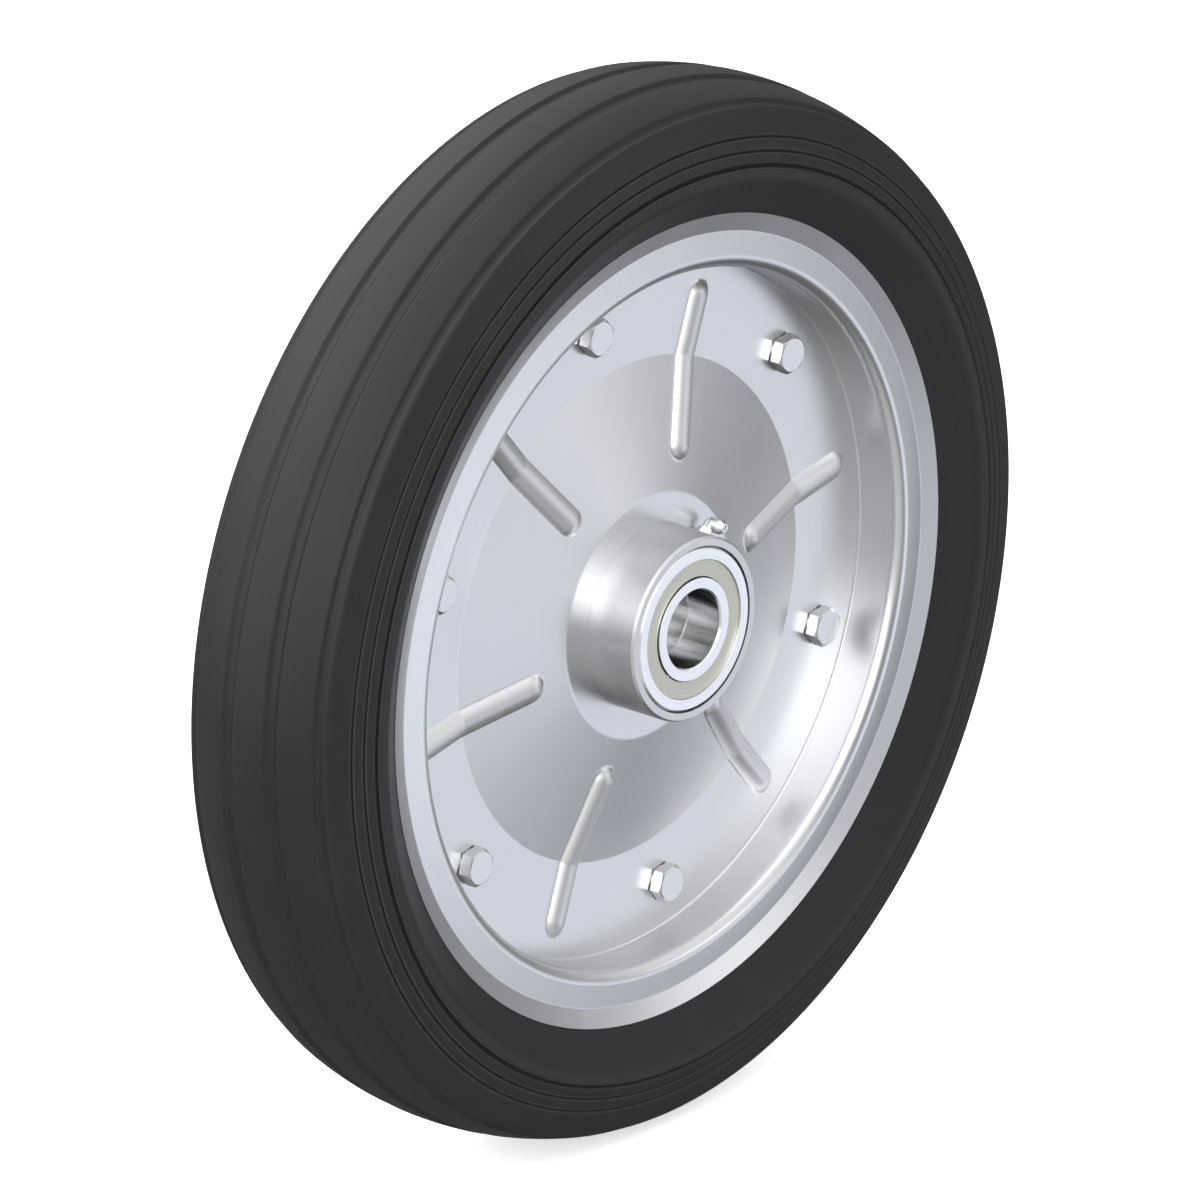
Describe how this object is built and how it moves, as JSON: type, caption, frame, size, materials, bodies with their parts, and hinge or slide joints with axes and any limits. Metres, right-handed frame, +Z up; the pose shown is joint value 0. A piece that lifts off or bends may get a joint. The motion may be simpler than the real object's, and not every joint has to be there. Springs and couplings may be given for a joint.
{
  "type": "heavy duty wheel",
  "caption": "Heavy duty wheel: ribbed solid rubber tyre on a bolted pressed steel rim, with a greased hub on shielded ball bearings.",
  "frame": {"origin": "centre of the wheel, on the axle's axis in the middle plane of the tyre", "axes": "+Y along the axle, from the bolt-head side to the nut side; +Z up; +X to the right seen from the front"},
  "size_m": [0.4, 0.09, 0.4],
  "materials": {
    "rubber_tyre": "moulded black rubber",
    "zinc_plated_steel": "bright zinc plating on pressed sheet",
    "zinc_plated_hub": "bright zinc plating on turned tube",
    "zinc_plated_fasteners": "bright zinc plating",
    "bare_steel": "drawn tube",
    "ground_bearing_steel": "ground",
    "shield_steel": "matt pressed shield",
    "cage_polyamide": "moulded"
  },
  "bodies": {
    "axle_core": {"front_bearing_inner_ring": "ground_bearing_steel", "rear_bearing_inner_ring": "ground_bearing_steel", "bearing_spacer": "bare_steel"},
    "wheel": {"tyre": "rubber_tyre", "front_rim": "zinc_plated_steel", "rear_rim": "zinc_plated_steel", "hub_tube": "zinc_plated_hub", "hub_weld": "zinc_plated_hub", "rim_bolts": "zinc_plated_fasteners", "rim_nuts": "zinc_plated_fasteners", "nut_washers": "zinc_plated_fasteners", "distance_sleeves": "zinc_plated_fasteners", "grease_nipple": "zinc_plated_fasteners", "nipple_check_ball": "ground_bearing_steel", "front_bearing_outer_ring": "ground_bearing_steel", "front_bearing_shield": "shield_steel", "rear_bearing_outer_ring": "ground_bearing_steel", "rear_bearing_shield": "shield_steel"},
    "front_ball_set": {"front_bearing_balls": "ground_bearing_steel", "front_bearing_cage": "cage_polyamide"},
    "rear_ball_set": {"rear_bearing_balls": "ground_bearing_steel", "rear_bearing_cage": "cage_polyamide"}
  },
  "joints": [
    {"name": "wheel_spin", "type": "hinge", "parent": "axle_core", "child": "wheel", "pos_m": [0, 0, 0], "axis": [0, 1, 0], "continuous": true},
    {"name": "front_ball_orbit", "type": "hinge", "parent": "axle_core", "child": "front_ball_set", "pos_m": [0, 0, 0], "axis": [0, 1, 0], "continuous": true},
    {"name": "rear_ball_orbit", "type": "hinge", "parent": "axle_core", "child": "rear_ball_set", "pos_m": [0, 0, 0], "axis": [0, 1, 0], "continuous": true}
  ],
  "couplings": [
    {"joint": "front_ball_orbit", "follows": "wheel_spin", "ratio": 0.60353},
    {"joint": "rear_ball_orbit", "follows": "wheel_spin", "ratio": 0.60353}
  ]
}
